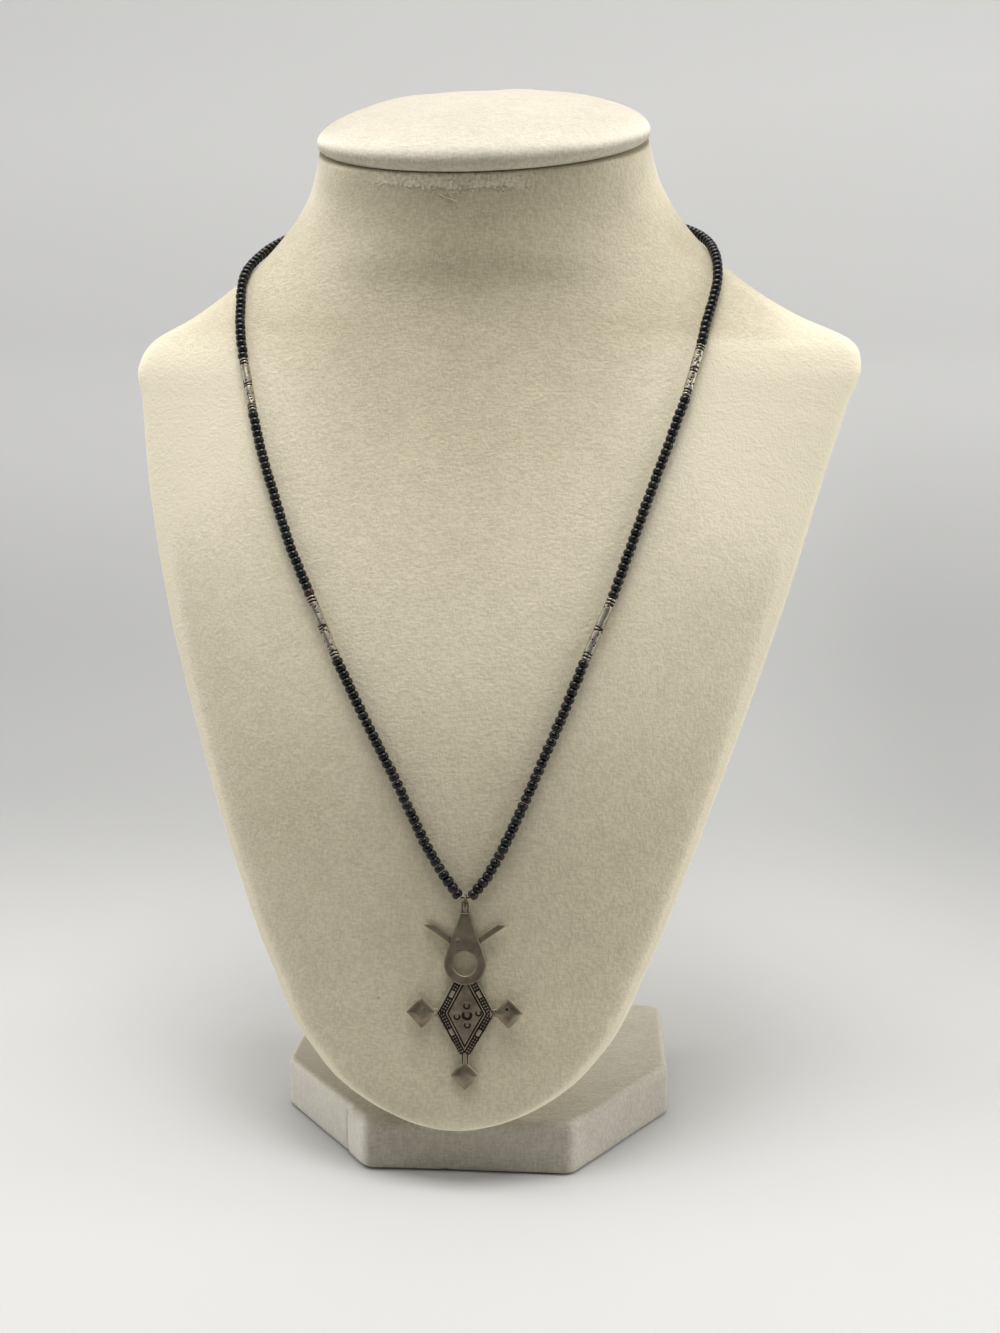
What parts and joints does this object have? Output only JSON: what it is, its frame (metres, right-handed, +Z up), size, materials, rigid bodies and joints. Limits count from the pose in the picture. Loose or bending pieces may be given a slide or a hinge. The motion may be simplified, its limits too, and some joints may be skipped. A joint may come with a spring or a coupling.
{
  "type": "tuareg cross pendant necklace on a velvet neck bust",
  "caption": "Engraved silver cross pendant hung by a jump ring from a strand of black glass seed beads with engraved tube beads, worn by a velvet-covered neck display bust on a flat base.",
  "frame": {"origin": "middle of the underside's plane: the centre of the whole object's box, at the floor", "axes": "+X towards the right as seen from the front, +Y from the front to the back, +Z up"},
  "size_m": [0.239, 0.1605, 0.3341],
  "materials": {
    "velvet": "short-pile cream velvet over a stiff form",
    "black_glass": "glossy opaque black glass",
    "worn_silver": "worn silver with dark engraved rings",
    "dark_silver": "tarnished engraved silver",
    "cotton_thread": "dull dark cotton"
  },
  "bodies": {
    "root": {"base_block": "velvet", "torso": "velvet", "neck_cap": "velvet", "beads_front_left": "black_glass", "tube_low_left": "worn_silver", "beads_chest_left": "black_glass", "tube_high_left": "worn_silver", "beads_back": "black_glass", "tube_high_right": "worn_silver", "beads_chest_right": "black_glass", "tube_low_right": "worn_silver", "beads_front_right": "black_glass", "thread": "cotton_thread", "jump_ring": "dark_silver", "cross_pendant": "dark_silver"}
  },
  "joints": []
}
